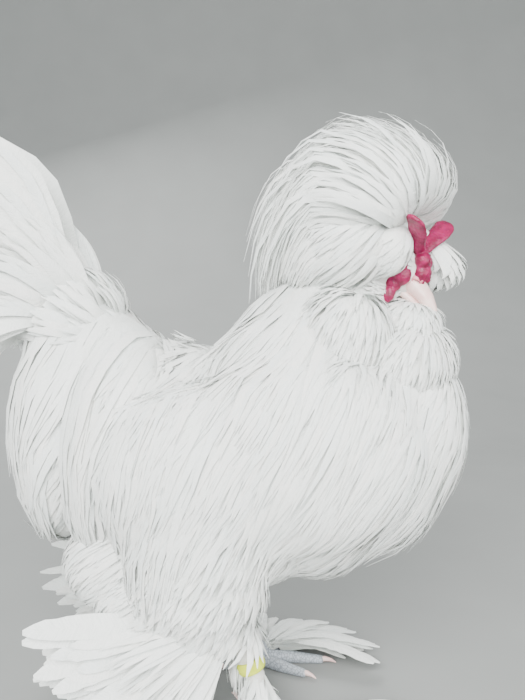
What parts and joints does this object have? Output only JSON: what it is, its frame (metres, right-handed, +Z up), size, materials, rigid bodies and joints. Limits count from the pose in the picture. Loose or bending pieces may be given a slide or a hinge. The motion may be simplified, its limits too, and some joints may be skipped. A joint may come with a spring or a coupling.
{
  "type": "chicken",
  "caption": "Standing white crested and bearded rooster with a V-shaped comb, raised tail and feathered feet, head turned to its right.",
  "frame": {"origin": "middle of the bird's outline at floor level", "axes": "+X the way the body faces, +Y its left side, +Z up"},
  "size_m": [0.4046, 0.2324, 0.3852],
  "materials": {
    "white_plumage": "soft white feathers",
    "red_skin": "bare magenta-red skin",
    "pale_horn": "pinkish white horn",
    "brown_eye": "wet, reddish brown with a black pupil",
    "blue_scale": "slate blue scales, white feathers on the outer toes",
    "yellow_plastic": "smooth yellow-green plastic"
  },
  "bodies": {
    "root": {"beak_lower": "pale_horn", "beak_upper": "pale_horn", "beard": "white_plumage", "claw_fifth_left": "pale_horn", "claw_fifth_right": "pale_horn", "claw_hind_left": "pale_horn", "claw_hind_right": "pale_horn", "claw_inner_left": "pale_horn", "claw_inner_right": "pale_horn", "claw_middle_left": "pale_horn", "claw_middle_right": "pale_horn", "claw_outer_left": "pale_horn", "claw_outer_right": "pale_horn", "comb": "red_skin", "crest": "white_plumage", "eye_left": "brown_eye", "eye_right": "brown_eye", "foot_left": "blue_scale", "foot_right": "blue_scale", "head": "white_plumage", "hock_left": "white_plumage", "hock_right": "white_plumage", "leg_band": "yellow_plastic", "neck": "white_plumage", "shank_left": "white_plumage", "shank_right": "white_plumage", "tail": "white_plumage", "thigh_left": "white_plumage", "thigh_right": "white_plumage", "torso": "white_plumage", "wattle_left": "red_skin", "wattle_right": "red_skin", "wing_left": "white_plumage", "wing_right": "white_plumage"}
  },
  "joints": []
}
